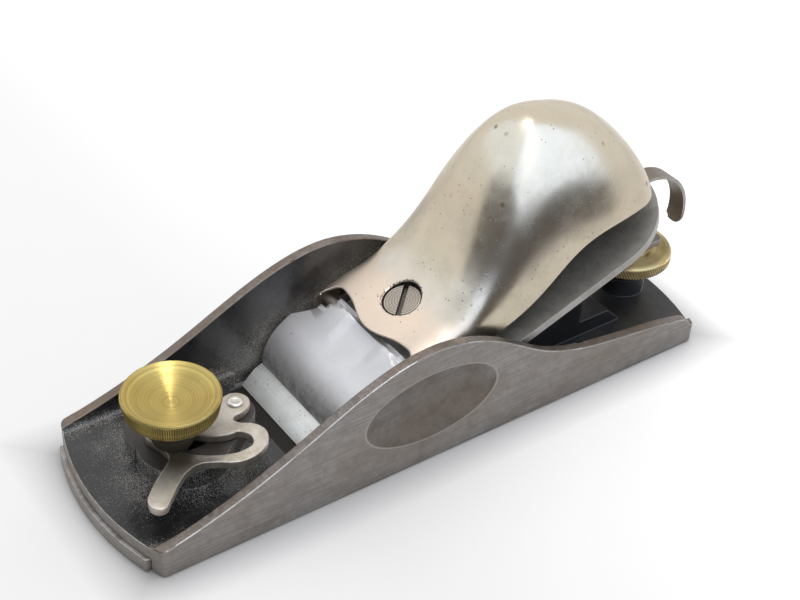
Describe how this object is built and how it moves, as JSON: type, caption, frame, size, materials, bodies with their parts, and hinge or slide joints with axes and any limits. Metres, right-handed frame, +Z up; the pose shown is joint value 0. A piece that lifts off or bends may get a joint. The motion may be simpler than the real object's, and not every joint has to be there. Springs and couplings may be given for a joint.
{
  "type": "block plane",
  "caption": "Small one-hand block plane: cast body with arched cheeks, hinged domed cap, low-angle cutter, sliding throat plate with lever and finger knob, depth wheel and lateral lever.",
  "frame": {"origin": "centre of the casting on the plane of the sole", "axes": "+X to the toe, +Y to the left cheek, +Z up from the sole"},
  "size_m": [0.1709, 0.0486, 0.0687],
  "materials": {
    "body_casting": "ground cheeks and sole, black enamel inside",
    "throat_plate": "ground",
    "knob_stud": "turned",
    "finger_knob": "turned, bright",
    "throat_lever": "worn",
    "throat_lever_rivet": "worn",
    "cutter": "ground",
    "clamp": "satin plated",
    "knuckle_pin": "plain",
    "cap_hood": "polished nickel plate, aged",
    "cap_screw": "turned",
    "adjusting_screw": "turned",
    "adjusting_wheel": "aged, knurled rim",
    "adjusting_lever": "plain",
    "adjusting_lever_pin": "plain",
    "lateral_lever": "browned",
    "lateral_disc": "plain",
    "lateral_rivet": "plain"
  },
  "bodies": {
    "base": {"body_casting": "body_casting", "throat_lever_rivet": "throat_lever_rivet", "clamp": "clamp", "knuckle_pin": "knuckle_pin", "adjusting_lever_pin": "adjusting_lever_pin", "lateral_rivet": "lateral_rivet"},
    "throat": {"throat_plate": "throat_plate", "knob_stud": "knob_stud"},
    "knob": {"finger_knob": "finger_knob"},
    "lever": {"throat_lever": "throat_lever"},
    "blade": {"cutter": "cutter"},
    "cap": {"cap_hood": "cap_hood"},
    "screw": {"cap_screw": "cap_screw"},
    "depth_screw": {"adjusting_screw": "adjusting_screw"},
    "depth_wheel": {"adjusting_wheel": "adjusting_wheel"},
    "crank": {"adjusting_lever": "adjusting_lever"},
    "lateral": {"lateral_lever": "lateral_lever", "lateral_disc": "lateral_disc"}
  },
  "joints": [
    {"name": "lever_swing", "type": "hinge", "parent": "base", "child": "lever", "pos_m": [0.0426, -0.003, 0.0122], "axis": [0, 0, -1], "range_deg": [0, 50]},
    {"name": "throat_slide", "type": "slide", "parent": "base", "child": "throat", "axis": [-1, 0, 0], "range_m": [0, 0.005]},
    {"name": "knob_turn", "type": "hinge", "parent": "throat", "child": "knob", "pos_m": [0.06, 0, 0.02], "axis": [0, 0, 1], "continuous": true},
    {"name": "cap_lift", "type": "hinge", "parent": "base", "child": "cap", "pos_m": [0.0084, 0, 0.0198], "axis": [0, 1, 0], "range_deg": [0, 40]},
    {"name": "screw_turn", "type": "hinge", "parent": "base", "child": "screw", "pos_m": [-0.00562, 0, 0.01322], "axis": [0.342, 0, 0.9397], "continuous": true},
    {"name": "depth_rise", "type": "slide", "parent": "base", "child": "depth_screw", "axis": [0, 0, 1], "range_m": [-0.00254, 0.00254]},
    {"name": "depth_turn", "type": "hinge", "parent": "depth_screw", "child": "depth_wheel", "pos_m": [-0.0725, 0, 0.015], "axis": [0, 0, 1], "range_deg": [-722, 722]},
    {"name": "crank_rock", "type": "hinge", "parent": "base", "child": "crank", "pos_m": [-0.0385, 0, 0.01454], "axis": [0, 1, 0], "range_deg": [-4.31, 4.31]},
    {"name": "lateral_swing", "type": "hinge", "parent": "base", "child": "lateral", "pos_m": [-0.01347, 0, 0.01607], "axis": [0.342, 0, 0.9397], "range_deg": [-0.9, 0.9]},
    {"name": "blade_feed", "type": "slide", "parent": "lateral", "child": "blade", "axis": [0.9397, 0, -0.342], "range_m": [-0.00075, 0.00075]}
  ],
  "couplings": [
    {"joint": "lever_swing", "follows": "throat_slide", "rad_per_m": 174.53},
    {"joint": "depth_turn", "follows": "depth_rise", "rad_per_m": 4947.3},
    {"joint": "crank_rock", "follows": "depth_rise", "rad_per_m": 29.411},
    {"joint": "blade_feed", "follows": "depth_rise", "ratio": 0.29411}
  ]
}
